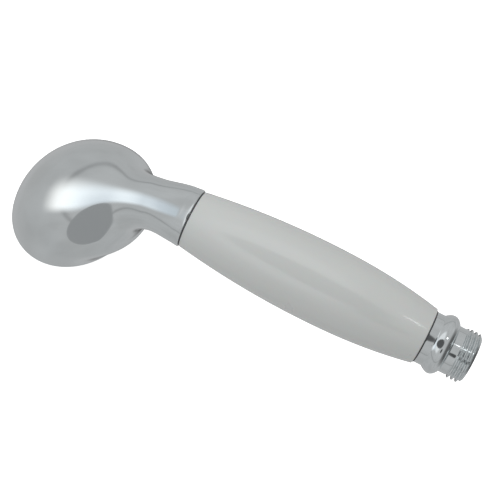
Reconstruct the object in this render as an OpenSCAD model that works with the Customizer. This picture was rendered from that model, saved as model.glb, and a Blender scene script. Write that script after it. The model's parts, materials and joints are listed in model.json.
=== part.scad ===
// Handheld shower head: chromed bell head on a curved neck, white barrel handle and a hose-thread ferrule.
// The handle lies along X with the hose thread's end at X = 0 and the head at +X. +Z is the back of the
// handset, and the spray leaves downwards, tilted back towards the hand.

/* [Handle] */
// Length of the white sleeve
sleeve_len = 101; // [85:1:130]
// Greatest diameter of the sleeve
sleeve_mid_d = 31.8; // [28:0.2:36]
// Diameter of the sleeve where it meets the neck
sleeve_neck_d = 23.6; // [22.6:0.2:26]
// Diameter of the sleeve where it meets the ferrule
sleeve_ferrule_d = 23.2; // [22.6:0.2:26]
// Distance from the neck end to the greatest diameter, as a share of the length
sleeve_mid_share = 0.53; // [0.4:0.01:0.6]
// Thickness of each joint washer
gasket_t = 0.5; // [0.4:0.1:1]

/* [Ferrule] */
// Length of the hose thread
thread_len = 6.8; // [6.6:0.1:8]
// Length of the relief behind the thread
relief_len = 2.8; // [2.4:0.1:4]
// Length of the rounded bead
bead_len = 6.7; // [6:0.1:8]
// Diameter of the bead
bead_d = 24.6; // [23.6:0.1:27]
// Length of the collar between bead and sleeve
collar_len = 3.4; // [3:0.1:5]
// Diameter of the collar
collar_d = 21.4; // [21.3:0.1:22.4]

/* [Head] */
// Angle from the handle's direction to the spray direction
spray_angle = 110.5; // [106:0.5:115]
// Diameter of the bell's rim
rim_d = 61.2; // [60:0.2:63]
// Wall of the casting
shell_wall = 2.2; // [1.8:0.1:2.6]
// Diameter of the spray plate
plate_d = 46.6; // [44:0.2:47]
// How far the retaining ring unscrews
ring_travel = 6; // [3:1.5:6]

/* [Check valve] */
// Diameter of the inlet bore
inlet_d = 15.2; // [15:0.1:15.6]
// Outer diameter of the check valve cartridge
cartridge_d = 14.8; // [14.4:0.1:14.8]
// Lift of the plug
valve_lift = 2; // [1:0.25:2]

/* [Hidden] */
round_fn = 96;
chrome = [0.78, 0.79, 0.81];
white = [0.90, 0.91, 0.89];
rubber = [0.10, 0.10, 0.11];
plastic = [0.80, 0.81, 0.78];
brass = [0.78, 0.62, 0.30];
steel = [0.62, 0.63, 0.65];

// hose thread: G 1/2, drawn as rings at its true crest, root and pitch
thread_r = 20.955 / 2;
thread_root_r = 18.631 / 2;
thread_pitch = 1.814;
crest_flat = 0.44;
first_crest = 0.6;
relief_r = 9.7;

// places along the handle
bead_x = thread_len + relief_len;
collar_x = bead_x + bead_len;
lower_joint_x = collar_x + collar_len;
sleeve_x = lower_joint_x + gasket_t;
upper_joint_x = sleeve_x + sleeve_len;
neck_x = upper_joint_x + gasket_t;

// bores and spigots inside the handle
sleeve_bore_r = 9.2;
spigot_r = 9;
spigot_len = 4;
tube_r = 6;
tube_bore_r = 4.7;
tube_grip = 11;
bore_len = 14;
seal_pocket_r = 7.7;
seal_pocket_len = 2.2;
tube_x = 16.6;
tube_end_x = neck_x + tube_grip;
inlet_r = inlet_d / 2;
inlet_depth = 15.2;

// the bell: rings that fan about a line below the neck, from the neck round to the rim.
// Each list gives evenly spaced stages of the turn, from the neck to the rim.
neck_r = 12.2;
neck_straight = 4;
rim_r = rim_d / 2;
height_stage = [11.9, 10.6, 12, 17, 24.4, rim_r];
width_stage = [11.9, 10.7, 13.2, 20.8, 26.3, rim_r];
gap_stage = [22, 21.2, 18.8, 16.4, 15.6, 22.3];
ring_steps = 22;
ring_points = 44;
cavity_first = 3;
cavity_last = 19;

// the face: distances along the spray direction, counted from the rim's plane
lip_round = 1.5;
socket_r = 24.6;
socket_corner_r = socket_r / cos(180 / ring_points);
socket_depth = 6;
cavity_r = socket_r - 2.4;
thread_gap = 0.15;
ring_bore_r = plate_d / 2 + 0.2;
ring_flange_r = rim_r - lip_round - 0.4;
ring_flange_z = lip_round + 0.1;
ring_flange_t = 2.2;
ring_spigot_len = 2.5;
spreader_t = 2.8;
plate_hole_r = 1.35;
nozzle_base_r = 1.25;
nozzle_tip_r = 0.95;
ledge_z = 2.4;
ledge_r = plate_d / 2 - 1.2;
plate_t = 1.2;
plate_dome = 1.4;
mat_t = 1.4;
nozzle_out = 1.5;
nozzle_rings = [[7, 8], [11.5, 14], [16, 20], [20, 26]];
nozzle_bore_r = 0.5;
screw_r = 1.5;
spreader_depth = 5.6;

// the check valve in the ferrule's inlet
valve_x = 4.1;
valve_len = 10.6;
seat_x = valve_x + 1.8;
seat_r = 3.4;
valve_groove_r = cartridge_d / 2 - 1.1;
chamber_r = 5.8;
plug_x = seat_x + 0.9;
guide_x = valve_x + valve_len - 1.8;
stem_r = 1;

function mix(a, b, t) = a + (b - a) * t;
function smooth(t) = let(u = min(max(t, 0), 1)) u * u * (3 - 2 * u);
function curve(p0, p1, p2, p3, t) = 0.5 * (2 * p1 + (p2 - p0) * t + (2 * p0 - 5 * p1 + 4 * p2 - p3) * t * t
    + (3 * p1 - p0 - 3 * p2 + p3) * t * t * t);
// a smooth curve through evenly spaced stages, u from 0 to 1
function stage(v, u) = let(n = len(v) - 1, i = min(floor(u * n), n - 1), t = u * n - i)
    curve(i > 0 ? v[i - 1] : 2 * v[i] - v[i + 1], v[i], v[i + 1],
        i + 2 <= n ? v[i + 2] : 2 * v[i + 1] - v[i], t);

hinge_x = neck_x + neck_straight;
hinge_z = -(height_stage[0] + gap_stage[0]);
rim_reach = gap_stage[len(gap_stage) - 1] + rim_r;

// a ring of the bell, given its turn, its nearest and farthest distance from the hinge line and its half width
function fan_ring(turn, near, far, half_w) = [for (k = [0:ring_points - 1])
    let(a = 360 * k / ring_points, d = (near + far) / 2 + (far - near) / 2 * cos(a))
    [hinge_x + d * sin(turn), half_w * sin(a), hinge_z + d * cos(turn)]];
function outer_ring(u) = let(g = stage(gap_stage, u), h = stage(height_stage, u))
    fan_ring(spray_angle * u, g, g + 2 * h, stage(width_stage, u));
// the cavity keeps the wall's thickness, and closes in on the socket towards the rim
function inner_ring(u) =
    let(g = stage(gap_stage, u), h = stage(height_stage, u), w = stage(width_stage, u),
        back = max(cos(spray_angle * (1 - u)), 0.5), rim = smooth((u - 0.66) / 0.15),
        near = mix(g + shell_wall, (rim_reach - cavity_r) / back, rim),
        far = mix(g + 2 * h - shell_wall, min(g + 2 * h - shell_wall, (rim_reach + cavity_r) / back), rim),
        half_w = mix(w - shell_wall, min(w - shell_wall, cavity_r), rim))
    fan_ring(spray_angle * u, near, far, half_w);
// a circle round the spray's line, at a distance outwards from the rim's plane
function rim_ring(r, z) = [for (k = [0:ring_points - 1])
    let(a = 360 * k / ring_points, d = rim_reach + r * cos(a))
    [hinge_x + d * sin(spray_angle) + z * cos(spray_angle), r * sin(a),
        hinge_z + d * cos(spray_angle) - z * sin(spray_angle)]];
function neck_ring(x, r) = [for (k = [0:ring_points - 1]) let(a = 360 * k / ring_points)
    [x, r * sin(a), r * cos(a)]];

// closed skin through a list of rings, the last ring joined to the first by a loop or by end caps
module ring_skin(rings) {
    n = ring_points;
    count = len(rings);
    sides = [for (i = [0:count - 2], k = [0:n - 1], half = [0, 1])
        half == 0 ? [i * n + k, i * n + (k + 1) % n, (i + 1) * n + k]
            : [i * n + (k + 1) % n, (i + 1) * n + (k + 1) % n, (i + 1) * n + k]];
    caps = [[for (k = [n - 1:-1:0]) k], [for (k = [0:n - 1]) (count - 1) * n + k]];
    polyhedron(points = [for (r = rings) each r], faces = concat(sides, caps), convexity = 8);
}

// turns a child's +Z towards +X, at a distance along the handle
module along_handle(x) {
    translate([x, 0, 0]) rotate([0, 90, 0]) children();
}

// a child's +Z becomes the spray direction and its origin the middle of the rim
module at_rim() {
    translate([hinge_x + rim_reach * sin(spray_angle), 0, hinge_z + rim_reach * cos(spray_angle)])
        rotate([0, 90 + spray_angle, 0]) children();
}

// a flat ring from z0 to z1
module washer(r_out, r_in, z0, z1) {
    difference() {
        translate([0, 0, z0]) cylinder(h = z1 - z0, r = r_out, $fn = round_fn);
        translate([0, 0, z0 - 1]) cylinder(h = z1 - z0 + 2, r = r_in, $fn = round_fn);
    }
}

// a rubber ring of round section
module o_ring(middle_r, section_r, z) {
    translate([0, 0, z]) rotate_extrude($fn = round_fn) translate([middle_r, 0]) circle(r = section_r, $fn = 32);
}

module head_shell() {
    color(chrome) difference() {
        union() {
            // casting from the neck round to the rim's lip, down into the socket and back along the cavity
            ring_skin(concat(
                [neck_ring(neck_x, neck_r - 0.4), neck_ring(neck_x + 0.4, neck_r)],
                [for (i = [0:ring_steps]) outer_ring(i / ring_steps)],
                [for (a = [18:18:90]) rim_ring(rim_r - lip_round + lip_round * cos(a), lip_round * sin(a))],
                [rim_ring(socket_corner_r, lip_round), rim_ring(socket_corner_r, -socket_depth),
                    rim_ring(cavity_r, -socket_depth)],
                [for (i = [cavity_last:-1:cavity_first]) inner_ring(i / ring_steps)]));
            // spigot that enters the sleeve
            along_handle(neck_x - gasket_t - spigot_len)
                cylinder(h = spigot_len + gasket_t + 1, r = spigot_r, $fn = round_fn);
        }
        // bore that takes the water tube, open to the cavity
        along_handle(neck_x - 10) cylinder(h = 10 + tube_grip + 0.4, r = tube_r + 0.05, $fn = round_fn);
        along_handle(neck_x) cylinder(h = bore_len, r = tube_bore_r, $fn = round_fn);
        along_handle(neck_x - gasket_t - spigot_len - 1)
            cylinder(h = 1 + seal_pocket_len, r = seal_pocket_r, $fn = round_fn);
    }
}

module rose_ring() {
    color(chrome) at_rim() difference() {
        union() {
            rotate_extrude($fn = round_fn) {
                translate([ring_flange_r - 1, ring_flange_z + ring_flange_t - 1]) intersection() {
                    circle(r = 1, $fn = 48);
                    square(1);
                }
                translate([ledge_r, ring_flange_z])
                    square([ring_flange_r - ledge_r, ring_flange_t - 1]);
                translate([ledge_r, ring_flange_z])
                    square([ring_flange_r - 1 - ledge_r, ring_flange_t]);
            }
            translate([0, 0, -ring_spigot_len])
                cylinder(h = ring_spigot_len + ring_flange_z + 0.5, r = socket_r - thread_gap, $fn = round_fn);
        }
        translate([0, 0, -5]) cylinder(h = 5 + ledge_z, r = ring_bore_r, $fn = round_fn);
        cylinder(h = 10, r = ledge_r, $fn = round_fn);
    }
}

// height of the plate's outer face at a distance from its middle
function plate_face(r) = ledge_z + plate_dome * (1 - pow(r / ledge_r, 2));

module at_nozzles() {
    for (ring = nozzle_rings) {
        for (k = [0:ring[1] - 1]) {
            rotate([0, 0, 360 * k / ring[1]]) translate([ring[0], 0, 0]) children();
        }
    }
}

module spray_plate() {
    steps = 10;
    color(chrome) at_rim() difference() {
        rotate_extrude($fn = round_fn) polygon(concat(
            [[0, ledge_z - plate_t], [plate_d / 2, ledge_z - plate_t], [plate_d / 2, ledge_z],
                [ledge_r - 0.3, ledge_z]],
            [for (i = [steps - 1:-1:0]) let(r = (ledge_r - 0.3) * i / steps) [r, plate_face(r)]]));
        at_nozzles() translate([0, 0, -1]) cylinder(h = 10, r = plate_hole_r, $fn = 24);
        translate([0, 0, -1]) cylinder(h = 10, r = screw_r + 0.1, $fn = 24);
    }
}

module nozzle_mat() {
    mat_top = ledge_z - plate_t;
    color(rubber) at_rim() difference() {
        union() {
            translate([0, 0, mat_top - mat_t]) cylinder(h = mat_t, r = plate_d / 2 - 0.1, $fn = round_fn);
            for (ring = nozzle_rings) {
                for (k = [0:ring[1] - 1]) {
                    rotate([0, 0, 360 * k / ring[1]]) translate([ring[0], 0, mat_top - 0.5])
                        cylinder(h = plate_face(ring[0]) + nozzle_out - mat_top + 0.5, r1 = nozzle_base_r,
                            r2 = nozzle_tip_r, $fn = 24);
                }
            }
        }
        at_nozzles() translate([0, 0, -5]) cylinder(h = 15, r = nozzle_bore_r, $fn = 16);
        translate([0, 0, -5]) cylinder(h = 15, r = screw_r + 0.6, $fn = 24);
    }
}

module spreader_plate() {
    top = -spreader_depth;
    rim_z = ledge_z - plate_t - mat_t;
    seal_r = socket_r - 0.2;
    color(plastic) at_rim() difference() {
        union() {
            translate([0, 0, top]) cylinder(h = spreader_t, r = seal_r, $fn = round_fn);
            washer(plate_d / 2 - 0.1, plate_d / 2 - 1.8, top + 2, rim_z);
            translate([0, 0, top + 2]) cylinder(h = rim_z - top - 2, r = 3.4, $fn = 48);
        }
        // groove of the sealing ring
        washer(seal_r + 2, seal_r - 1.5, top + 0.5, top + 2.3);
        // water passages
        for (k = [0:11]) {
            rotate([0, 0, 30 * k]) translate([15, 0, top - 1]) cylinder(h = 5, r = 1.8, $fn = 24);
        }
        for (k = [0:5]) {
            rotate([0, 0, 60 * k]) translate([8, 0, top - 1]) cylinder(h = 5, r = 1.6, $fn = 24);
        }
        translate([0, 0, top + 1]) cylinder(h = 20, r = screw_r, $fn = 24);
    }
}

module rose_seal() {
    color(rubber) at_rim() o_ring(socket_r - 0.9, 0.8, -spreader_depth + 1.4);
}

module centre_screw() {
    head_z = plate_face(0);
    shank_z = -spreader_depth + 1.2;
    color(chrome) at_rim() difference() {
        union() {
            translate([0, 0, shank_z]) cylinder(h = head_z + 0.5 - shank_z, r = screw_r - 0.05, $fn = 32);
            rotate_extrude($fn = 48) intersection() {
                translate([0, head_z - 4]) circle(r = 5.6, $fn = 64);
                translate([0, head_z]) square([4, 3]);
            }
        }
        // slot for a coin or a driver
        translate([-5, -0.5, head_z + 0.8]) cube([10, 1, 3]);
    }
}

// radius of the sleeve's outside at a distance from the neck end, as a share of its length
function sleeve_r(u) = let(
    t = u < sleeve_mid_share ? 1 - u / sleeve_mid_share : (u - sleeve_mid_share) / (1 - sleeve_mid_share),
    end_d = u < sleeve_mid_share ? sleeve_neck_d : sleeve_ferrule_d,
    power = u < sleeve_mid_share ? 2.0 : 2.25)
    (sleeve_mid_d - (sleeve_mid_d - end_d) * pow(t, power)) / 2;

module handle_sleeve() {
    steps = 32;
    color(white) along_handle(sleeve_x) difference() {
        rotate_extrude($fn = round_fn) polygon(concat(
            [[0, 0]],
            [[sleeve_r(1) - 0.3, 0]],
            [for (i = [0:steps]) let(u = mix(0.997, 0.003, i / steps)) [sleeve_r(u), sleeve_len * (1 - u)]],
            [[sleeve_r(0) - 0.3, sleeve_len]],
            [[0, sleeve_len]]));
        translate([0, 0, -1]) cylinder(h = sleeve_len + 2, r = sleeve_bore_r, $fn = round_fn);
    }
}

module upper_gasket() {
    color(rubber) along_handle(upper_joint_x) washer(sleeve_neck_d / 2 - 0.3, spigot_r + 0.05, 0, gasket_t);
}

module lower_gasket() {
    color(rubber) along_handle(lower_joint_x) washer(collar_d / 2 + 0.2, spigot_r + 0.05, 0, gasket_t);
}

module water_tube() {
    color(brass) along_handle(tube_x) difference() {
        cylinder(h = tube_end_x - tube_x, r = tube_r, $fn = round_fn);
        translate([0, 0, -1]) cylinder(h = tube_end_x - tube_x + 2, r = tube_bore_r, $fn = round_fn);
    }
}

module upper_tube_seal() {
    color(rubber) along_handle(upper_joint_x - spigot_len)
        o_ring((tube_r + seal_pocket_r) / 2, (seal_pocket_r - tube_r) / 2 - 0.03, seal_pocket_len / 2);
}

module lower_tube_seal() {
    color(rubber) along_handle(sleeve_x + spigot_len)
        o_ring((tube_r + seal_pocket_r) / 2, (seal_pocket_r - tube_r) / 2 - 0.03, -seal_pocket_len / 2);
}

// plastic ring that centres the tube in the sleeve
module tube_bush(share) {
    color(plastic) along_handle(sleeve_x + sleeve_len * share)
        washer(sleeve_bore_r - 0.05, tube_r + 0.05, -4, 4);
}

module upper_bush() {
    tube_bush(0.75);
}

module lower_bush() {
    tube_bush(0.25);
}

module end_ferrule() {
    crests = floor((thread_len - first_crest) / thread_pitch);
    bead_steps = 16;
    color(chrome) along_handle(0) difference() {
        union() {
            // root of the thread and the relief behind it
            translate([0, 0, 0.25]) cylinder(h = bead_x - 0.25, r = thread_root_r, $fn = round_fn);
            cylinder(h = 0.3, r1 = thread_root_r - 0.3, r2 = thread_root_r, $fn = round_fn);
            translate([0, 0, thread_len]) cylinder(h = relief_len, r = relief_r, $fn = round_fn);
            // crests
            for (i = [0:crests]) {
                translate([0, 0, first_crest + i * thread_pitch]) thread_crest();
            }
            // bead, with hollow runs into the relief and the collar
            translate([0, 0, bead_x]) rotate_extrude($fn = round_fn) polygon(concat(
                [[0, 0]],
                [for (i = [0:bead_steps]) let(t = i / bead_steps)
                    [mix(mix(relief_r, collar_d / 2, t), bead_d / 2, pow(sin(180 * t), 0.8)), bead_len * t]],
                [[0, bead_len]]));
            // collar
            translate([0, 0, collar_x]) cylinder(h = collar_len, r = collar_d / 2, $fn = round_fn);
            // spigot that enters the sleeve
            translate([0, 0, collar_x]) cylinder(h = collar_len + gasket_t + spigot_len, r = spigot_r, $fn = round_fn);
        }
        translate([0, 0, -1]) cylinder(h = 1 + inlet_depth, r = inlet_r, $fn = round_fn);
        cylinder(h = 40, r = tube_bore_r, $fn = round_fn);
        translate([0, 0, tube_x - 0.2]) cylinder(h = 20, r = tube_r + 0.05, $fn = round_fn);
        translate([0, 0, sleeve_x + spigot_len - seal_pocket_len]) cylinder(h = 5, r = seal_pocket_r, $fn = round_fn);
    }
}

module thread_crest() {
    half = crest_flat / 2;
    foot = thread_pitch / 2 - 0.1;
    rotate_extrude($fn = round_fn) polygon([[8, -half], [thread_root_r, -foot], [thread_r, -half],
        [thread_r, half], [thread_root_r, foot], [8, half]]);
}

module inlet_filter() {
    mesh_pitch = 1.5;
    color(steel) along_handle(0.6) {
        difference() {
            union() {
                washer(inlet_r - 0.1, inlet_r - 0.9, 0, 1.1);
                translate([0, 0, 0.4]) cylinder(h = 0.3, r = inlet_r - 0.5, $fn = round_fn);
            }
            for (i = [-4:4], j = [-4:4]) {
                if (i * i + j * j < 17) {
                    translate([i * mesh_pitch, j * mesh_pitch, -1]) cylinder(h = 3, r = 0.55, $fn = 16);
                }
            }
        }
    }
}

module flow_restrictor() {
    color(plastic) along_handle(1.9) difference() {
        cylinder(h = 2, r = inlet_r - 0.1, $fn = round_fn);
        washer(4.6, 2.6, -1, 1.3);
        for (k = [0:7]) {
            rotate([0, 0, 45 * k]) translate([3.6, 0, -1]) cylinder(h = 5, r = 0.6, $fn = 16);
        }
        for (k = [0:11]) {
            rotate([0, 0, 30 * k]) translate([6, 0, -1]) cylinder(h = 5, r = 0.45, $fn = 16);
        }
    }
}

module regulator_ring() {
    color(rubber) along_handle(1.9) o_ring(3.6, 0.7, 0.55);
}

module check_valve_body() {
    color(plastic) along_handle(0) difference() {
        translate([0, 0, valve_x]) cylinder(h = valve_len, r = cartridge_d / 2, $fn = round_fn);
        translate([0, 0, valve_x - 1]) cylinder(h = 5, r = seat_r, $fn = round_fn);
        translate([0, 0, seat_x]) cylinder(h = 20, r = chamber_r, $fn = round_fn);
        washer(10, valve_groove_r, valve_x + 4, valve_x + 5.8);
    }
}

module check_valve_seal() {
    color(rubber) along_handle(0) o_ring(valve_groove_r + 0.65, 0.63, valve_x + 4.9);
}

module check_valve_guide() {
    color(plastic) along_handle(guide_x) difference() {
        cylinder(h = 1.4, r = chamber_r - 0.02, $fn = round_fn);
        translate([0, 0, -1]) cylinder(h = 5, r = stem_r + 0.06, $fn = 48);
        for (k = [0:5]) {
            rotate([0, 0, 60 * k]) translate([4, 0, -1]) cylinder(h = 5, r = 1.2, $fn = 24);
        }
    }
}

module check_valve_poppet() {
    color(white) along_handle(plug_x) {
        cylinder(h = 1, r = 4.6, $fn = 64);
        translate([0, 0, -2]) cylinder(h = 2.1, r1 = 0.9, r2 = 1.5, $fn = 48);
        cylinder(h = guide_x - plug_x + 1.5, r = stem_r, $fn = 48);
    }
}

module poppet_seal() {
    color(rubber) along_handle(plug_x) washer(4.8, 1.52, -0.8, 0);
}

module check_valve_spring() {
    wire_r = 0.25;
    coil_r = 2.3;
    turns = 4.5;
    sides = 6;
    per_turn = 16;
    low = plug_x + 1 + wire_r + 0.02;
    high = guide_x - wire_r - 0.02;
    count = floor(turns * per_turn);
    points = [for (i = [0:count], s = [0:sides - 1])
        let(a = 360 * i / per_turn, b = 360 * s / sides, r = coil_r + wire_r * cos(b))
        [mix(low, high, i / count) + wire_r * sin(b), r * cos(a), r * sin(a)]];
    faces = concat(
        [for (i = [0:count - 1], s = [0:sides - 1], half = [0, 1])
            let(p = i * sides + s, q = i * sides + (s + 1) % sides)
            half == 0 ? [p, p + sides, q] : [q, p + sides, q + sides]],
        [[for (s = [0:sides - 1]) s], [for (s = [sides - 1:-1:0]) count * sides + s]]);
    color(steel) polyhedron(points = points, faces = faces, convexity = 8);
}

head_shell();
rose_ring();
spray_plate();
nozzle_mat();
spreader_plate();
rose_seal();
centre_screw();
handle_sleeve();
upper_gasket();
lower_gasket();
water_tube();
upper_tube_seal();
lower_tube_seal();
upper_bush();
lower_bush();
end_ferrule();
inlet_filter();
flow_restrictor();
regulator_ring();
check_valve_body();
check_valve_guide();
check_valve_poppet();
poppet_seal();
check_valve_spring();
check_valve_seal();
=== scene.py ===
import json
import math

import bmesh
import bpy
from mathutils import Matrix, Vector


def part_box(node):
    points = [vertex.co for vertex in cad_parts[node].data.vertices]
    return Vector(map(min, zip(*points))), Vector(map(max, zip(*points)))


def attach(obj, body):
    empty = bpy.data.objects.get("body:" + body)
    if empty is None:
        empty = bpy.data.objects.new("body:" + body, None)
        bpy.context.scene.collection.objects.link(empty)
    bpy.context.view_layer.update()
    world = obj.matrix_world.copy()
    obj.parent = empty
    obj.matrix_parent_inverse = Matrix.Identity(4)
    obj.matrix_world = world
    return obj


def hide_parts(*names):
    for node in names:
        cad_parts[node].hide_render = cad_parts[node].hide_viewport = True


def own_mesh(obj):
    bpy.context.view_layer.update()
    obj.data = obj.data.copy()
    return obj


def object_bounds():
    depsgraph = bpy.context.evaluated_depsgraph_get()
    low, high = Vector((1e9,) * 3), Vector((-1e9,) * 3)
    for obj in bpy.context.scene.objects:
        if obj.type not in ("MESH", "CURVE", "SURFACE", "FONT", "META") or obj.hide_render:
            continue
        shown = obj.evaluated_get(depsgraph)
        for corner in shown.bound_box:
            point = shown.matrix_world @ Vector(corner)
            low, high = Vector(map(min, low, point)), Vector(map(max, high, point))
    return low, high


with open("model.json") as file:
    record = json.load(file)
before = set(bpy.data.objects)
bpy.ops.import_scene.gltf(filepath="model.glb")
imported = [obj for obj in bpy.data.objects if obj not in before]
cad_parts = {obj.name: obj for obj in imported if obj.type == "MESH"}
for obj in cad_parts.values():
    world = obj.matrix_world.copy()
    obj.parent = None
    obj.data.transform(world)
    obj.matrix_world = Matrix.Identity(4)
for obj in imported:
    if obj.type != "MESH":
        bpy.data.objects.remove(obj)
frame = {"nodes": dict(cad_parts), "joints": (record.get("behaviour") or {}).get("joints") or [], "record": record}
cad_low, cad_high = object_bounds()

MM = 0.001
TURN = 2 * math.pi
ROUND = 192  # points round a turned piece

# ------------------------ the CAD model's places, in millimetres
joints = {j["name"]: j for j in frame["joints"]}
SLEEVE_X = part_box("handle_sleeve")[0].x / MM
UPPER_JOINT_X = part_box("handle_sleeve")[1].x / MM
LOWER_JOINT_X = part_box("lower_gasket")[0].x / MM
NECK_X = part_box("upper_gasket")[1].x / MM
SPIGOT_END_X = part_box("head_shell")[0].x / MM
FERRULE_END_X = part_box("end_ferrule")[1].x / MM
SPRAY = Vector(joints["ring_turn"]["axis"]).normalized()
RIM = Vector(joints["ring_turn"]["pos_m"]) / MM
SPRAY_ANGLE = math.atan2(-SPRAY.z, SPRAY.x)
OUTWARDS = Vector((math.sin(SPRAY_ANGLE), 0, math.cos(SPRAY_ANGLE)))
ACROSS = Vector((0, 1, 0))
ALONG = Vector((1, 0, 0))

# the bell's form: rings that fan about a line below the neck, in evenly spaced stages
HEIGHT = (11.9, 10.6, 12.0, 17.0, 24.4, 30.6)
WIDTH = (11.9, 10.7, 13.2, 20.8, 26.3, 30.6)
GAP = (22.0, 21.2, 18.8, 16.4, 15.6, 22.3)
RIM_R = HEIGHT[-1]
REACH = GAP[-1] + RIM_R
NECK_STRAIGHT = 4.0
HINGE_X = NECK_X + NECK_STRAIGHT
HINGE_Z = -(HEIGHT[0] + GAP[0])
WALL = 2.2
LIP = 1.5
SOCKET_R = 24.6
SOCKET_DEPTH = 6.0
SHOULDER = 2.4
# the cavity runs between two shares of the fan, and narrows to the socket's shoulder on the way
CAVITY_R = SOCKET_R - SHOULDER
CAVITY_FROM = 0.14
CAVITY_TO = 0.86
NARROWS_FROM = 0.66
NARROWS_OVER = 0.15
LEAST_TILT = 0.5  # keeps the narrowing bounded on the rings that stand far from the rim's plane


def mix(a, b, t):
    return a + (b - a) * t


def clamp(t):
    return min(max(t, 0.0), 1.0)


def smooth(t):
    t = clamp(t)
    return t * t * (3 - 2 * t)


def stage(values, u):
    """A smooth curve through evenly spaced stages."""
    n = len(values) - 1
    i = min(int(u * n), n - 1)
    t = u * n - i
    p1, p2 = values[i], values[i + 1]
    p0 = values[i - 1] if i > 0 else 2 * p1 - p2
    p3 = values[i + 2] if i + 2 <= n else 2 * p2 - p1
    return 0.5 * (2 * p1 + (p2 - p0) * t + (2 * p0 - 5 * p1 + 4 * p2 - p3) * t ** 2
                  + (3 * p1 - p0 - 3 * p2 + p3) * t ** 3)


# ------------------------ rings of points
def handle_ring(x, r, n=ROUND):
    """A ring round the handle's line; r is a radius, or gives one for a place and a share of a turn."""
    points = []
    for k in range(n):
        a = TURN * k / n
        rr = r(x, k / n) if callable(r) else r
        points.append(Vector((x, rr * math.sin(a), rr * math.cos(a))))
    return points


def rim_ring(r, z, n=ROUND, centre=(0.0, 0.0)):
    """A ring round the spray's line; z is counted outwards from the rim's plane."""
    points = []
    for k in range(n):
        a = TURN * k / n
        rr = r(z, k / n) if callable(r) else r
        points.append(RIM + SPRAY * z + OUTWARDS * (centre[0] + rr * math.cos(a))
                      + ACROSS * (centre[1] + rr * math.sin(a)))
    return points


def fan_ring(u, near, far, half_w, n=ROUND):
    """An ellipse on the fan's blade at share u, between two distances from the fan's line."""
    turn = SPRAY_ANGLE * u
    points = []
    for k in range(n):
        a = TURN * k / n
        d = (near + far) / 2 + (far - near) / 2 * math.cos(a)
        points.append(Vector((HINGE_X + d * math.sin(turn), half_w * math.sin(a),
                              HINGE_Z + d * math.cos(turn))))
    return points


def outer_ring(u):
    """The bell's outside, u from 0 at the neck to 1 at the rim."""
    g, h = stage(GAP, u), stage(HEIGHT, u)
    return fan_ring(u, g, g + 2 * h, stage(WIDTH, u))


def inner_ring(u):
    """The cavity's ring inside outer_ring(u), a wall's thickness in."""
    g, h, w = stage(GAP, u), stage(HEIGHT, u), stage(WIDTH, u)
    tilt = max(math.cos(SPRAY_ANGLE * (1 - u)), LEAST_TILT)
    closing = smooth((u - NARROWS_FROM) / NARROWS_OVER)
    near = mix(g + WALL, (REACH - CAVITY_R) / tilt, closing)
    far = g + 2 * h - WALL
    far = mix(far, min(far, (REACH + CAVITY_R) / tilt), closing)
    half_w = mix(w - WALL, min(w - WALL, CAVITY_R), closing)
    return fan_ring(u, near, far, half_w)


# ------------------------ meshes
def add_skin(bm, rings, loop=False, caps=False):
    """Quads through equal rings of points, in millimetres."""
    rows = [[bm.verts.new(p * MM) for p in ring] for ring in rings]
    n = len(rows[0])
    pairs = list(zip(rows, rows[1:] + rows[:1])) if loop else list(zip(rows, rows[1:]))
    for a, b in pairs:
        for k in range(n):
            bm.faces.new((a[k], a[(k + 1) % n], b[(k + 1) % n], b[k]))
    if caps:
        bm.faces.new(rows[0])
        bm.faces.new(rows[-1])


def finish_mesh(name, bm, material, sharp=35):
    """Turns a bmesh into an object, smooth apart from edges sharper than the given angle."""
    bmesh.ops.recalc_face_normals(bm, faces=bm.faces)
    limit = math.radians(sharp)
    for f in bm.faces:
        f.smooth = True
    for e in bm.edges:
        e.smooth = not (len(e.link_faces) == 2 and e.calc_face_angle(0) > limit)
    mesh = bpy.data.meshes.new(name)
    bm.to_mesh(mesh)
    bm.free()
    mesh.materials.append(material)
    obj = bpy.data.objects.new(name, mesh)
    bpy.context.scene.collection.objects.link(obj)
    return obj


def skin(name, rings, material, loop=False, caps=False, sharp=35):
    bm = bmesh.new()
    add_skin(bm, rings, loop, caps)
    return finish_mesh(name, bm, material, sharp)


def settle(piece, body, slot, *nodes):
    """A finished piece rides on its body and stands for its CAD nodes."""
    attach(piece, body)
    if nodes:
        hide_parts(*nodes)


# ------------------------ materials
def new_material(name):
    mat = bpy.data.materials.new(name)
    mat.use_nodes = True
    tree = mat.node_tree
    return mat, tree, tree.nodes["Principled BSDF"]


def place(tree, kind, **inputs):
    node = tree.nodes.new(kind)
    for key, value in inputs.items():
        node.inputs[key.replace("_", " ")].default_value = value
    return node


def noise(tree, scale, detail=3.0, stretch=(1, 1, 1)):
    """Noise in the object's own metres, so scale is features per metre."""
    coords = tree.nodes.new("ShaderNodeTexCoord")
    mapping = place(tree, "ShaderNodeMapping")
    mapping.inputs["Scale"].default_value = stretch
    tex = place(tree, "ShaderNodeTexNoise", Scale=scale, Detail=detail)
    tree.links.new(coords.outputs["Object"], mapping.inputs["Vector"])
    tree.links.new(mapping.outputs["Vector"], tex.inputs["Vector"])
    return tex.outputs["Fac"]


def ramp(tree, source, stops):
    """Colour or grey stops along a factor."""
    node = tree.nodes.new("ShaderNodeValToRGB")
    elements = node.color_ramp.elements
    while len(elements) < len(stops):
        elements.new(0.5)
    for element, (at, colour) in zip(elements, stops):
        element.position = at
        rgb = colour if isinstance(colour, tuple) else (colour, colour, colour)
        element.color = (*rgb, 1)
    tree.links.new(source, node.inputs["Fac"])
    return node.outputs["Color"]


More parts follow.
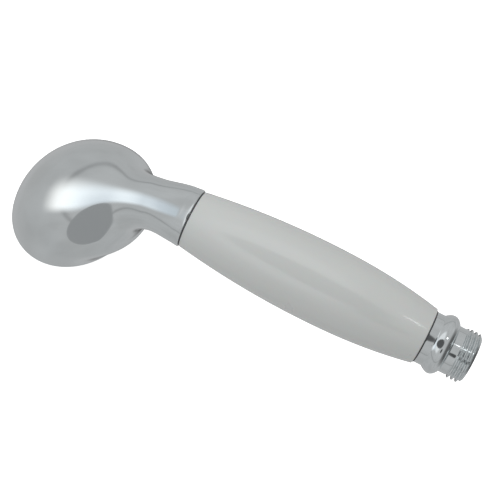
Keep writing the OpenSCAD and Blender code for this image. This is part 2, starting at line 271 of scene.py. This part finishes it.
def bump(tree, bsdf, source, strength, distance, under=None):
    node = place(tree, "ShaderNodeBump", Strength=strength, Distance=distance)
    tree.links.new(source, node.inputs["Height"])
    if under is not None:
        tree.links.new(under, node.inputs["Normal"])
    tree.links.new(node.outputs["Normal"], bsdf.inputs["Normal"])
    return node.outputs["Normal"]


def varied(name, low, high, rough, scale=60, metallic=0.0, grain=700, relief=(0.15, 0.00002),
           stretch=(1, 1, 1), **sockets):
    """Colour and gloss that drift a little, over a fine grain; relief is its strength and depth."""
    mat, tree, bsdf = new_material(name)
    drift = noise(tree, scale, 4, stretch)
    tree.links.new(ramp(tree, drift, ((0.3, low), (0.7, high))), bsdf.inputs["Base Color"])
    gloss = noise(tree, scale * 2.3, 5, stretch)
    tree.links.new(ramp(tree, gloss, ((0.35, rough[0]), (0.7, rough[1]))), bsdf.inputs["Roughness"])
    bump(tree, bsdf, noise(tree, grain, 2, stretch), *relief)
    bsdf.inputs["Metallic"].default_value = metallic
    for key, value in sockets.items():
        bsdf.inputs[key.replace("_", " ")].default_value = value
    return mat


def chrome_material(name, rough, base=0.80):
    """Bright plating over a polished casting: faint waviness, soft smears and fine wipe marks."""
    mat, tree, bsdf = new_material(name)
    bsdf.inputs["Metallic"].default_value = 1.0
    cool = (base - 0.04, base - 0.008, base)
    bright = (base - 0.01, base + 0.02, base + 0.025)
    tone = ramp(tree, noise(tree, 45, 3), ((0.3, cool), (0.7, bright)))
    tree.links.new(tone, bsdf.inputs["Base Color"])
    clean, smeared = rough
    smears = ramp(tree, noise(tree, 90, 6, (1, 2.5, 1)),
                  ((0.35, clean), (0.62, mix(clean, smeared, 0.4)), (0.8, smeared)))
    tree.links.new(smears, bsdf.inputs["Roughness"])
    wave = bump(tree, bsdf, noise(tree, 70, 1), 0.12, 0.0002)
    bump(tree, bsdf, noise(tree, 2600, 2), 0.05, 0.000004, wave)
    return mat


chrome = chrome_material("chrome", (0.085, 0.15))
plate_chrome = chrome_material("chrome_plate", (0.13, 0.24), 0.76)

# colours from and to, roughness from and to
white = varied("white_handle", (0.765, 0.782, 0.755), (0.785, 0.80, 0.775), (0.27, 0.31),
               scale=14, grain=420, relief=(0.05, 0.00002), IOR=1.52, Coat_Weight=1.0,
               Coat_Roughness=0.07, Subsurface_Weight=0.06, Subsurface_Scale=0.002)
silicone = varied("silicone", (0.17, 0.175, 0.18), (0.21, 0.215, 0.22), (0.5, 0.66),
                  scale=160, grain=2400, Subsurface_Weight=0.05, Subsurface_Scale=0.0008)
rubber = varied("black_rubber", (0.075, 0.075, 0.078), (0.095, 0.095, 0.10), (0.45, 0.62),
                scale=220, grain=3200)
acetal = varied("inner_plastic", (0.70, 0.71, 0.67), (0.76, 0.765, 0.735), (0.36, 0.5),
                scale=120, grain=1800, Subsurface_Weight=0.08, Subsurface_Scale=0.0015)
blue_acetal = varied("valve_plastic", (0.05, 0.13, 0.30), (0.065, 0.16, 0.35), (0.34, 0.46),
                     scale=140, grain=1900, Subsurface_Weight=0.05, Subsurface_Scale=0.001)
brass = varied("brass", (0.62, 0.44, 0.17), (0.72, 0.53, 0.23), (0.2, 0.36),
               scale=60, grain=900, metallic=1.0, relief=(0.2, 0.00001), stretch=(0.12, 1, 1))
steel = varied("steel_mesh", (0.50, 0.51, 0.52), (0.60, 0.605, 0.61), (0.24, 0.38),
               scale=500, grain=5000, metallic=1.0)
spring_steel = varied("spring_steel", (0.46, 0.465, 0.475), (0.58, 0.585, 0.59), (0.2, 0.34),
                      scale=700, grain=6000, metallic=1.0)

SLOTS = {"chrome": chrome, "chrome_plate": plate_chrome, "white_handle": white, "silicone": silicone,
         "black_rubber": rubber, "inner_plastic": acetal, "valve_plastic": blue_acetal, "brass": brass,
         "steel_mesh": steel, "spring_steel": spring_steel}
for entry in frame["record"]["subparts"]:
    node = frame["nodes"][entry["node"]]
    for holder in node.material_slots:
        holder.material = SLOTS[entry["material_slot"]]

# ------------------------ the bell and neck, one hollow casting
NECK_R = 12.2
SPIGOT_R = 9.0
TUBE_R = 6.05
TUBE_BORE_R = 4.7
POCKET_R = 7.7
POCKET_LEN = 2.2
TUBE_GRIP = 11.4
TUBE_STOP = 0.3
CHAMFER = 0.2
SOCKET_CHAMFER = 0.3
# the neck's rounded edge: how far along and how far in
NECK_EDGE = ((0, 0.4), (0.06, 0.22), (0.2, 0.06), (0.4, 0))
NECK_STEPS = 6
FAN_STEPS = 120
CAVITY_STEPS = 50

rings = [handle_ring(SPIGOT_END_X, POCKET_R), handle_ring(SPIGOT_END_X, SPIGOT_R - CHAMFER),
         handle_ring(SPIGOT_END_X + CHAMFER, SPIGOT_R), handle_ring(NECK_X, SPIGOT_R)]
rings += [handle_ring(NECK_X + along, NECK_R - inwards) for along, inwards in NECK_EDGE]
EDGE_END_X = NECK_X + NECK_EDGE[-1][0]
for i in range(1, NECK_STEPS):
    t = i / NECK_STEPS
    rings.append(handle_ring(mix(EDGE_END_X, HINGE_X, t), mix(NECK_R, HEIGHT[0], smooth(t))))
rings += [outer_ring(i / FAN_STEPS) for i in range(FAN_STEPS + 1)]
rings += [rim_ring(RIM_R - LIP + LIP * math.cos(math.radians(a)), LIP * math.sin(math.radians(a)))
          for a in range(10, 91, 10)]
rings += [rim_ring(SOCKET_R + SOCKET_CHAMFER, LIP), rim_ring(SOCKET_R, LIP - SOCKET_CHAMFER),
          rim_ring(SOCKET_R, -SOCKET_DEPTH + CHAMFER), rim_ring(SOCKET_R - CHAMFER, -SOCKET_DEPTH),
          rim_ring(CAVITY_R, -SOCKET_DEPTH)]
rings += [inner_ring(mix(CAVITY_TO, CAVITY_FROM, i / CAVITY_STEPS)) for i in range(CAVITY_STEPS + 1)]
TUBE_END_X = NECK_X + TUBE_GRIP - TUBE_STOP
rings += [handle_ring(NECK_X + TUBE_GRIP, TUBE_BORE_R), handle_ring(TUBE_END_X, TUBE_BORE_R),
          handle_ring(TUBE_END_X, TUBE_R), handle_ring(SPIGOT_END_X + POCKET_LEN, TUBE_R),
          handle_ring(SPIGOT_END_X + POCKET_LEN, POCKET_R)]
bell = skin("bell_casting", rings, chrome, loop=True)
settle(bell, "root", "chrome", "head_shell")

# ------------------------ the white barrel of the handle
SLEEVE_LEN = UPPER_JOINT_X - SLEEVE_X
SLEEVE_MID_R = 15.9
SLEEVE_NECK_R = 11.8
SLEEVE_FERRULE_R = 11.6
SLEEVE_MID = 0.53
SLEEVE_BORE_R = 9.2
NECK_SWELL = 2.0
FERRULE_SWELL = 2.25
SLEEVE_EDGE = 0.35
EDGE_SHARE = SLEEVE_EDGE / SLEEVE_LEN
BODY_STEPS = 140


def sleeve_r(u):
    """Outside radius, u from the neck end to the ferrule end."""
    if u < SLEEVE_MID:
        t, end, power = 1 - u / SLEEVE_MID, SLEEVE_NECK_R, NECK_SWELL
    else:
        t, end, power = (u - SLEEVE_MID) / (1 - SLEEVE_MID), SLEEVE_FERRULE_R, FERRULE_SWELL
    return SLEEVE_MID_R - (SLEEVE_MID_R - end) * t ** power


def rounded_end(x, r, way):
    """A small rounded edge, from the bore to the outside; way is 1 at a low end and -1 at a high one."""
    arc = []
    for a in range(90, -1, -15):
        s, c = math.sin(math.radians(a)), math.cos(math.radians(a))
        arc.append((x + way * SLEEVE_EDGE * (1 - s), r - SLEEVE_EDGE * (1 - c)))
    return [(x, SLEEVE_BORE_R)] + arc


profile = rounded_end(SLEEVE_X, sleeve_r(1 - EDGE_SHARE), 1)
for i in range(1, BODY_STEPS):
    u = mix(1 - EDGE_SHARE, EDGE_SHARE, i / BODY_STEPS)
    profile.append((SLEEVE_X + SLEEVE_LEN * (1 - u), sleeve_r(u)))
profile += reversed(rounded_end(UPPER_JOINT_X, sleeve_r(EDGE_SHARE), -1))
grip = skin("white_grip", [handle_ring(x, r) for x, r in profile], white, loop=True)
settle(grip, "root", "white_handle", "handle_sleeve")

# ------------------------ the ferrule with its helical hose thread
THREAD_LEN = 6.8
THREAD_PITCH = 1.814
THREAD_R = 20.955 / 2
THREAD_ROOT_R = 18.631 / 2
FIRST_CREST = 0.6
CREST_HALF = 0.20
ROOT_HALF = 0.14
RELIEF_R = 9.7
RELIEF_LEN = 2.8
BEAD_LEN = 6.7
BEAD_R = 12.3
COLLAR_R = 10.7
BEAD_X = THREAD_LEN + RELIEF_LEN
COLLAR_X = BEAD_X + BEAD_LEN
INLET_R = 7.6
INLET_DEPTH = 15.2
INLET_CHAMFER = 0.25
TUBE_SEAT_X = INLET_DEPTH + 1.2
CORNER_EASE = 0.45  # how far the thread's flanks are rounded off
LEAD_IN = 0.35  # how far below the root the thread starts
LEAD_IN_SLOPE = 1.15
RUN_OUT = 0.9  # the length over which the thread ends in the relief
BEAD_FULLNESS = 0.8
BEAD_FILLET = 0.05
BEAD_FOOT = ((0.9, 0), (0.45, 0.03))  # how far before the bead and how far out
COLLAR_EDGE = ((0.35, 0), (0.1, 0.07), (0, 0.25))  # how far before the joint and how far in
THREAD_ROWS = 72
BEAD_STEPS = 36


def thread_wave(along, pitch, crest_half, root_half):
    """1 on the crest and 0 in the root of a thread, with eased corners."""
    phase = along / pitch
    away = abs(phase - round(phase)) * pitch
    t = clamp((away - crest_half) / (pitch / 2 - crest_half - root_half))
    return 1 - mix(t, smooth(t), CORNER_EASE)


def hose_thread_r(x, turn):
    """The helical thread's radius at a place and a share of a turn."""
    wave = thread_wave(x - FIRST_CREST + turn * THREAD_PITCH, THREAD_PITCH, CREST_HALF, ROOT_HALF)
    r = min(mix(THREAD_ROOT_R, THREAD_R, wave), THREAD_ROOT_R - LEAD_IN + LEAD_IN_SLOPE * x)
    return mix(r, RELIEF_R, smooth((x - THREAD_LEN + RUN_OUT) / RUN_OUT))


def bead_r(t):
    """The bead's radius, t from the relief to the collar."""
    base = mix(RELIEF_R, COLLAR_R, t)
    if t in (0, 1):
        return base + BEAD_FILLET
    return mix(base, BEAD_R, math.sin(math.pi * t) ** BEAD_FULLNESS)


rings = [handle_ring(0, INLET_R + INLET_CHAMFER), handle_ring(0, THREAD_ROOT_R - 0.4)]
rings += [handle_ring(THREAD_LEN * i / THREAD_ROWS, hose_thread_r) for i in range(THREAD_ROWS + 1)]
outline = [(THREAD_LEN + 0.5, RELIEF_R)]
outline += [(BEAD_X - before, RELIEF_R + out) for before, out in BEAD_FOOT]
outline += [(BEAD_X + BEAD_LEN * i / BEAD_STEPS, bead_r(i / BEAD_STEPS)) for i in range(BEAD_STEPS + 1)]
outline += [(COLLAR_X + 0.3, COLLAR_R)]
outline += [(LOWER_JOINT_X - before, COLLAR_R - inwards) for before, inwards in COLLAR_EDGE]
outline += [(LOWER_JOINT_X, SPIGOT_R), (FERRULE_END_X - CHAMFER, SPIGOT_R),
            (FERRULE_END_X, SPIGOT_R - CHAMFER), (FERRULE_END_X, POCKET_R),
            (FERRULE_END_X - POCKET_LEN, POCKET_R), (FERRULE_END_X - POCKET_LEN, TUBE_R),
            (TUBE_SEAT_X, TUBE_R), (TUBE_SEAT_X, TUBE_BORE_R),
            (INLET_DEPTH, TUBE_BORE_R), (INLET_DEPTH, INLET_R), (INLET_CHAMFER, INLET_R)]
rings += [handle_ring(x, r) for x, r in outline]
ferrule = skin("ferrule_with_thread", rings, chrome, loop=True, sharp=40)
settle(ferrule, "root", "chrome", "end_ferrule")

# ------------------------ the retaining ring of the spray face
PLATE_R = 23.3
RING_BORE_R = PLATE_R + 0.2
LEDGE_Z = 2.4
LEDGE_R = PLATE_R - 1.2
FLANGE_Z = LIP + 0.1
FLANGE_R = 28.7
RING_TOP = FLANGE_Z + 2.2
RING_PITCH = 1.5
RING_THREAD_DEPTH = 0.32
RING_CREST_HALF = 0.2
SPIGOT_THREAD_R = SOCKET_R - 0.15
SPIGOT_LEN = 2.5
SPIGOT_ROWS = 36
CROWN_FALL = 0.55
CROWN_STEPS = 14
FLANGE_ROUND = 0.9
# the ring's rounded inner edge: how far out and how far below the top
INNER_EDGE = ((0, 0.45), (0.12, 0.15), (0.4, 0.02))


def ring_thread_r(z, turn):
    """The radius of the ring's own thread at a place and a share of a turn."""
    wave = thread_wave(z - turn * RING_PITCH, RING_PITCH, RING_CREST_HALF, RING_CREST_HALF)
    return SPIGOT_THREAD_R - RING_THREAD_DEPTH * (1 - wave)


rings = [rim_ring(LEDGE_R, LEDGE_Z)]
rings += [rim_ring(LEDGE_R + out, RING_TOP - below) for out, below in INNER_EDGE]
for i in range(CROWN_STEPS + 1):
    t = i / CROWN_STEPS
    r = mix(LEDGE_R + 0.8, FLANGE_R - FLANGE_ROUND, t)
    rings.append(rim_ring(r, RING_TOP - CROWN_FALL * t ** 2.2))
for a in range(15, 91, 15):
    c, s = math.cos(math.radians(a)), math.sin(math.radians(a))
    rings.append(rim_ring(FLANGE_R - FLANGE_ROUND * (1 - s),
                          RING_TOP - CROWN_FALL - FLANGE_ROUND * (1 - c)))
rings += [rim_ring(FLANGE_R, FLANGE_Z + 0.15), rim_ring(FLANGE_R - 0.15, FLANGE_Z),
          rim_ring(SPIGOT_THREAD_R, FLANGE_Z)]
rings += [rim_ring(ring_thread_r, mix(FLANGE_Z - CHAMFER, CHAMFER - SPIGOT_LEN, i / SPIGOT_ROWS))
          for i in range(SPIGOT_ROWS + 1)]
rings += [rim_ring(SPIGOT_THREAD_R - 0.35, -SPIGOT_LEN), rim_ring(RING_BORE_R, -SPIGOT_LEN),
          rim_ring(RING_BORE_R, LEDGE_Z)]
bezel = skin("bezel_ring", rings, chrome, loop=True)
settle(bezel, "retaining_ring", "chrome", "rose_ring")

# ------------------------ spray plate with its holes, and the nozzles
PLATE_T = 1.2
PLATE_DOME = 1.4
MAT_T = 1.4
MAT_TOP = LEDGE_Z - PLATE_T
NOZZLE_OUT = 1.5
SCREW_HOLE_R = 1.6
HOLE_R = 1.35
HOLE_SIDES = 32
DRILL_Z = (-1, 6)
DOME_R = LEDGE_R - 0.35
FACE_STEPS = 30
# radius of each circle of nozzles and how many stand on it
NOZZLE_RINGS = ((7, 8), (11.5, 14), (16, 20), (20, 26))
NOZZLES = [(radius * math.cos(TURN * k / count), radius * math.sin(TURN * k / count), radius)
           for radius, count in NOZZLE_RINGS for k in range(count)]


def plate_face(r):
    """The height of the domed face."""
    return LEDGE_Z + PLATE_DOME * (1 - (r / LEDGE_R) ** 2)


rings = [rim_ring(SCREW_HOLE_R, MAT_TOP), rim_ring(PLATE_R, MAT_TOP), rim_ring(PLATE_R, LEDGE_Z),
         rim_ring(LEDGE_R - 0.3, LEDGE_Z)]
for i in range(FACE_STEPS + 1):
    r = mix(DOME_R, SCREW_HOLE_R, i / FACE_STEPS)
    rings.append(rim_ring(r, plate_face(r)))
plate = skin("spray_face", rings, plate_chrome, loop=True)
drills = bmesh.new()
for x, y, radius in NOZZLES:
    add_skin(drills, [rim_ring(HOLE_R, z, HOLE_SIDES, (x, y)) for z in DRILL_Z], caps=True)
drill = finish_mesh("drills", drills, plate_chrome)
cut = plate.modifiers.new("holes", "BOOLEAN")
cut.operation = "DIFFERENCE"
cut.solver = "EXACT"
cut.object = drill
shaped = bpy.data.meshes.new_from_object(plate.evaluated_get(bpy.context.evaluated_depsgraph_get()))
plate.modifiers.clear()
plate.data = shaped
bpy.data.objects.remove(drill)
settle(plate, "spray_cartridge", "chrome_plate", "spray_plate")

MAT_R = PLATE_R - 0.1
MAT_HOLE_R = 2.1
MAT_FACE = MAT_TOP - 0.02
NOZZLE_SIDES = 28
# the nozzle's foot, radius and distance below the mat's top, and its rounded tip, from the outside over
# the end into the bore, radius and distance below the end
NOZZLE_FOOT = ((0.5, 1), (1.27, 1), (1.25, 0))
NOZZLE_TIP = ((1.0, 0.28), (0.95, 0.12), (0.84, 0.03), (0.7, 0), (0.56, 0.05), (0.5, 0.2))
nozzles = bmesh.new()
add_skin(nozzles, [rim_ring(r, z) for r, z in ((MAT_HOLE_R, MAT_TOP - MAT_T), (MAT_R, MAT_TOP - MAT_T),
                                               (MAT_R, MAT_FACE), (MAT_HOLE_R, MAT_FACE))], loop=True)
for x, y, radius in NOZZLES:
    end = plate_face(radius) + NOZZLE_OUT
    shape = [(r, MAT_TOP - below) for r, below in NOZZLE_FOOT]
    shape += [(r, end - below) for r, below in NOZZLE_TIP]
    add_skin(nozzles, [rim_ring(r, z, NOZZLE_SIDES, (x, y)) for r, z in shape], loop=True)
mat_piece = finish_mesh("nozzle_field", nozzles, silicone)
settle(mat_piece, "spray_cartridge", "silicone", "nozzle_mat")

# ------------------------ the woven inlet filter
FILTER_X = 0.6
FILTER_R = INLET_R - 0.1
FILTER_T = 1.1
# the filter's frame, round its section: along the handle and inwards
FRAME = ((0.1, 0), (1.0, 0), (1.1, 0.1), (1.1, 0.8), (1.0, 0.9), (0.1, 0.9), (0, 0.8), (0, 0.1))
FRAME_SIDES = 96
WIRE_R = 0.13
WIRE_CLEARANCE = 1.05  # crossing wires pass each other with this much room
WIRE_SIDES = 8
WIRE_STEP = 0.2
WIRE_REACH = FILTER_R - 0.6
WEAVE = 0.95
WIRES = 6  # on each side of the middle one


def filter_wire(offset, lifts_first, across):
    """Rings of one wire of the weave, which passes over and under the wires that cross it."""
    half = math.sqrt(WIRE_REACH ** 2 - offset ** 2)
    steps = int(half * 2 / WIRE_STEP)
    tube = []
    for i in range(steps + 1):
        along = mix(-half, half, i / steps)
        lift = WIRE_R * WIRE_CLEARANCE * math.cos(math.pi * (along / WEAVE + lifts_first))
        ring = []
        for k in range(WIRE_SIDES):
            a = TURN * k / WIRE_SIDES
            side, up = WIRE_R * math.cos(a), WIRE_R * math.sin(a)
            y, z = (offset + side, along) if across else (along, offset + side)
            ring.append(Vector((FILTER_X + FILTER_T / 2 + lift + up, y, z)))
        tube.append(ring)
    return tube


filter_mesh = bmesh.new()
add_skin(filter_mesh, [handle_ring(FILTER_X + along, FILTER_R - inwards, FRAME_SIDES)
                       for along, inwards in FRAME], loop=True)
for across in (0, 1):
    for j in range(-WIRES, WIRES + 1):
        add_skin(filter_mesh, filter_wire(j * WEAVE, j + across, across), caps=True)
gauze = finish_mesh("woven_filter", filter_mesh, steel)
settle(gauze, "root", "steel_mesh", "inlet_filter")

# ------------------------ the check valve's closing spring
spring_low, spring_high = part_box("check_valve_spring")
SPRING_WIRE = 0.25
SPRING_COIL = 2.3
SPRING_TURNS = 4.5
SPRING_SIDES = 14
COIL_STEPS = 200
low_x = spring_low.x / MM + SPRING_WIRE
high_x = spring_high.x / MM - SPRING_WIRE
rings = []
for i in range(COIL_STEPS + 1):
    t = i / COIL_STEPS
    a = TURN * SPRING_TURNS * t
    radial = Vector((0, math.cos(a), math.sin(a)))
    middle = Vector((mix(low_x, high_x, t), 0, 0)) + radial * SPRING_COIL
    ring = []
    for k in range(SPRING_SIDES):
        b = TURN * k / SPRING_SIDES
        ring.append(middle + radial * (SPRING_WIRE * math.cos(b)) + ALONG * (SPRING_WIRE * math.sin(b)))
    rings.append(ring)
spring = skin("valve_spring", rings, spring_steel, caps=True)
settle(spring, "root", "spring_steel", "check_valve_spring")
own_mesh(spring)

# ------------------------ camera
def facing(at, back, upright):
    """The pose of something that stands at a place with its back turned away from what it faces."""
    side = Vector(upright).cross(back).normalized()
    up = back.cross(side)
    return Matrix.Translation(at) @ Matrix((side, up, back)).transposed().to_4x4()


CAMERA_AT = Vector((0.0602, 0.1548, 0.4749))
CAMERA_BACK = Vector((-0.07068, 0.30787, 0.94880)).normalized()
CAMERA_UP = Vector((0.44897, -0.83956, 0.30587))
CAMERA_LENS = 92.16
camera_data = bpy.data.cameras.new("camera")
camera_data.lens = CAMERA_LENS
camera_data.sensor_width = 36
camera = bpy.data.objects.new("camera", camera_data)
camera.matrix_world = facing(CAMERA_AT, CAMERA_BACK, CAMERA_UP)
bpy.context.scene.collection.objects.link(camera)
bpy.context.scene.camera = camera


# ------------------------ the studio
camera_right = CAMERA_UP.cross(CAMERA_BACK).normalized()
camera_up = CAMERA_BACK.cross(camera_right)


def direction_from_camera(right, up, back):
    """A direction given along the camera's own right, up and back."""
    return (camera_right * right + camera_up * up + CAMERA_BACK * back).normalized()


def studio_card(name, towards, away, half, outline, upright, shader):
    """A flat card of the studio, facing a place: outline is in shares of its half sizes."""
    bm = bmesh.new()
    bm.faces.new([bm.verts.new((x * half[0], y * half[1], 0)) for x, y in outline])
    card = finish_mesh(name, bm, shader)
    card.matrix_world = facing(towards + away, away.normalized(), upright)
    card.visible_camera = False
    card.visible_shadow = False
    return card


def emitter(name):
    """A material that only glows."""
    mat, tree, bsdf = new_material(name)
    tree.nodes.remove(bsdf)
    return mat, tree, tree.nodes.new("ShaderNodeEmission")


def veil(tree, share, shader):
    """Shows a shader by a share, and what is behind it by the rest."""
    clear = tree.nodes.new("ShaderNodeBsdfTransparent")
    blend = tree.nodes.new("ShaderNodeMixShader")
    tree.links.new(share, blend.inputs["Fac"])
    tree.links.new(clear.outputs["BSDF"], blend.inputs[1])
    tree.links.new(shader, blend.inputs[2])
    tree.links.new(blend.outputs["Shader"], tree.nodes["Material Output"].inputs["Surface"])


def both(tree, a, b):
    """Two shares multiplied."""
    node = tree.nodes.new("ShaderNodeMath")
    node.operation = "MULTIPLY"
    tree.links.new(a, node.inputs[0])
    tree.links.new(b, node.inputs[1])
    return node.outputs["Value"]


def share_between(tree, source, start, end, interpolation="LINEAR"):
    """0 at the start value and 1 at the end one."""
    node = tree.nodes.new("ShaderNodeMapRange")
    node.interpolation_type = interpolation
    node.inputs["From Min"].default_value = start
    node.inputs["From Max"].default_value = end
    tree.links.new(source, node.inputs["Value"])
    return node.outputs["Result"]


def fade_between(tree, source, outer, inner):
    """The same, eased."""
    return share_between(tree, source, outer, inner, "SMOOTHSTEP")


def softbox_shader(name, half, feather, glow):
    """Emission that fades out at the card's four edges; glow is its colour along the card."""
    mat, tree, emission = emitter(name)
    coords = tree.nodes.new("ShaderNodeTexCoord")
    split = tree.nodes.new("ShaderNodeSeparateXYZ")
    tree.links.new(coords.outputs["Object"], split.inputs["Vector"])
    x, y = split.outputs["X"], split.outputs["Y"]
    left, right, bottom, top = feather
    level = fade_between(tree, x, -half[0], -half[0] + left)
    for source, edge, inner in ((x, half[0], half[0] - right), (y, -half[1], -half[1] + bottom),
                                (y, half[1], half[1] - top)):
        level = both(tree, level, fade_between(tree, source, edge, inner))
    height = share_between(tree, y, -half[1], half[1])
    tree.links.new(ramp(tree, height, glow), emission.inputs["Color"])
    emission.inputs["Strength"].default_value = KEY_GLOW
    veil(tree, level, emission.outputs["Emission"])
    return mat


def soft_oval(name, strength, inner):
    """A tone that fades out towards the edge of an oval card, from the given share of its size."""
    mat, tree, emission = emitter(name)
    emission.inputs["Color"].default_value = (0.97, 0.985, 1, 1)
    emission.inputs["Strength"].default_value = strength
    coords = tree.nodes.new("ShaderNodeTexCoord")
    middle = place(tree, "ShaderNodeVectorMath")
    middle.operation = "MULTIPLY_ADD"
    middle.inputs[1].default_value = (2, 2, 0)
    middle.inputs[2].default_value = (-1, -1, 0)
    tree.links.new(coords.outputs["Generated"], middle.inputs[0])
    length = place(tree, "ShaderNodeVectorMath")
    length.operation = "LENGTH"
    tree.links.new(middle.outputs["Vector"], length.inputs[0])
    share = fade_between(tree, length.outputs["Value"], 1.0, inner)
    veil(tree, share, emission.outputs["Emission"])
    return mat


HEAD = Vector((0.150, 0, -0.010))
GRIP = Vector((0.070, 0, 0))
SQUARE = ((-1, -1), (1, -1), (1, 1), (-1, 1))
OVAL = [(math.cos(TURN * k / 64), math.sin(TURN * k / 64)) for k in range(64)]

# the large softbox beside the head: it fades out at its edges and is bluer and dimmer at its low end
KEY = direction_from_camera(-0.82, 0.34, 0.46)
KEY_UP = direction_from_camera(-0.5, 0.1, -0.85)
KEY_AWAY = 0.55
KEY_HALF = (0.29, 0.60)
KEY_FEATHER = (0.15, 0.29, 0.38, 0.36)
KEY_GLOW = 1.4
KEY_COLOURS = ((0.33, (0.445, 0.485, 0.52)), (0.46, (0.50, 0.54, 0.58)), (0.62, (0.80, 0.84, 0.87)),
               (0.8, (1.0, 1.0, 0.99)))
studio_card("key_softbox", HEAD, KEY * KEY_AWAY, KEY_HALF, SQUARE, KEY_UP,
            softbox_shader("key_softbox", KEY_HALF, KEY_FEATHER, KEY_COLOURS))

# small cards that only reflections see: a grey one beside the bell, a pale one over the grip with a
# dark one under it, a dark one over the ferrule and a bright strip over its end. Each row has the place
# that the card faces, its distance from there, its half sizes and upright, its strength, and the share
# of its size from which it fades.
FLAG = Vector((-0.213, 0.757, 0.618)).normalized()
for name, towards, away, half, upright, strength, inner in (
        ("grey_flag", Vector((0.1705, 0.0057, -0.0381)), FLAG * 0.03, (0.0153, 0.0237),
         (-0.256, -0.654, 0.712), 0.33, 0.93),
        ("grip_card", Vector((0.090, 0, 0)), Vector((0, 0.012, 0.066)), (0.09, 0.06),
         (1, 0, 0), 0.88, 0.6),
        ("grip_flag", GRIP, Vector((0, 0.018, 0.06)), (0.024, 0.058),
         (1, 0, 0), 0.10, 0.8),
        ("ferrule_flag", Vector((0.012, 0, 0)), Vector((-0.09, 0.62, 0.77)) * 0.16, (0.035, 0.026),
         (0, 0, 1), 0.08, 0.7),
        ("glint", Vector((0.009, 0, 0)), Vector((0, -0.008, 0.055)), (0.011, 0.0028),
         (0, 1, 0), 5.0, 0.3)):
    card = studio_card(name, towards, away, half, OVAL, upright, soft_oval(name, strength, inner))
    card.visible_diffuse = False

# a broad soft light from above the camera, for the white handle
FILL = direction_from_camera(-0.1, 0.66, 0.74)
FILL_AWAY = 0.8
fill_data = bpy.data.lights.new("fill", "AREA")
fill_data.size = 1.1
fill_data.energy = 1.85
fill = bpy.data.objects.new("fill", fill_data)
aim = FILL.to_track_quat("Z", "Y").to_matrix().to_4x4()
fill.matrix_world = Matrix.Translation(GRIP + FILL * FILL_AWAY) @ aim
fill.visible_glossy = False
bpy.context.scene.collection.objects.link(fill)

# the pale floor, which is clear when it is seen from below
FLOOR_Z = cad_low.z - 0.012
FLOOR_HALF = 4.0
floor_material, tree, bsdf = new_material("floor")
bsdf.inputs["Roughness"].default_value = 0.9
tree.links.new(ramp(tree, noise(tree, 3, 2), ((0.3, 0.93), (0.7, 0.95))), bsdf.inputs["Base Color"])
bsdf.inputs["Emission Color"].default_value = (1, 1, 1, 1)
bsdf.inputs["Emission Strength"].default_value = 0.75
side_seen = tree.nodes.new("ShaderNodeNewGeometry")
from_below = tree.nodes.new("ShaderNodeBsdfTransparent")
one_sided = tree.nodes.new("ShaderNodeMixShader")
tree.links.new(side_seen.outputs["Backfacing"], one_sided.inputs["Fac"])
tree.links.new(bsdf.outputs["BSDF"], one_sided.inputs[1])
tree.links.new(from_below.outputs["BSDF"], one_sided.inputs[2])
tree.links.new(one_sided.outputs["Shader"], tree.nodes["Material Output"].inputs["Surface"])
bm = bmesh.new()
bm.faces.new([bm.verts.new((x * FLOOR_HALF, y * FLOOR_HALF, FLOOR_Z)) for x, y in SQUARE])
floor = finish_mesh("floor", bm, floor_material)
floor.visible_glossy = False
floor.visible_diffuse = False


def product(tree, a, b):
    """Two colours multiplied."""
    node = tree.nodes.new("ShaderNodeMix")
    node.data_type = "RGBA"
    node.blend_type = "MULTIPLY"
    node.inputs["Factor"].default_value = 1
    tree.links.new(a, node.inputs["A"])
    tree.links.new(b, node.inputs["B"])
    return node.outputs["Result"]


# a grey tent round the studio, with a darker line at the horizon and soft patches. It is darker opposite
# the lens, where the polished edges look, and on the inlet's side.
world = bpy.data.worlds.new("studio")
bpy.context.scene.world = world
world.use_nodes = True
tree = world.node_tree
background = tree.nodes["Background"]
coords = tree.nodes.new("ShaderNodeTexCoord")
split = tree.nodes.new("ShaderNodeSeparateXYZ")
tree.links.new(coords.outputs["Generated"], split.inputs["Vector"])
tent = ramp(tree, share_between(tree, split.outputs["Z"], -1, 1),
            ((0.0, 0.46), (0.47, 0.50), (0.50, 0.34), (0.53, 0.50), (0.75, 0.53), (1.0, 0.50)))
mottle = place(tree, "ShaderNodeTexNoise", Scale=2.2, Detail=3)
tree.links.new(coords.outputs["Generated"], mottle.inputs["Vector"])
patches = ramp(tree, mottle.outputs["Fac"], ((0.35, (0.93, 0.935, 0.94)), (0.65, (1.04, 1.05, 1.06))))
behind = place(tree, "ShaderNodeVectorMath")
behind.operation = "DOT_PRODUCT"
behind.inputs[1].default_value = -CAMERA_BACK
tree.links.new(coords.outputs["Generated"], behind.inputs[0])
edges = ramp(tree, behind.outputs["Value"], ((0.93, 1.0), (0.975, 0.62), (0.995, 0.2)))
inlet_side = ramp(tree, share_between(tree, split.outputs["X"], -1, 1), ((0.04, 0.25), (0.17, 1.0)))
for tone in (patches, edges, inlet_side):
    tent = product(tree, tent, tone)
tree.links.new(tent, background.inputs["Color"])
pale = place(tree, "ShaderNodeBackground", Color=(1, 1, 1, 1), Strength=1.0)
path = tree.nodes.new("ShaderNodeLightPath")
choose = tree.nodes.new("ShaderNodeMixShader")
tree.links.new(path.outputs["Is Camera Ray"], choose.inputs["Fac"])
tree.links.new(background.outputs["Background"], choose.inputs[1])
tree.links.new(pale.outputs["Background"], choose.inputs[2])
tree.links.new(choose.outputs["Shader"], tree.nodes["World Output"].inputs["Surface"])

bpy.context.scene.view_settings.view_transform = "Standard"
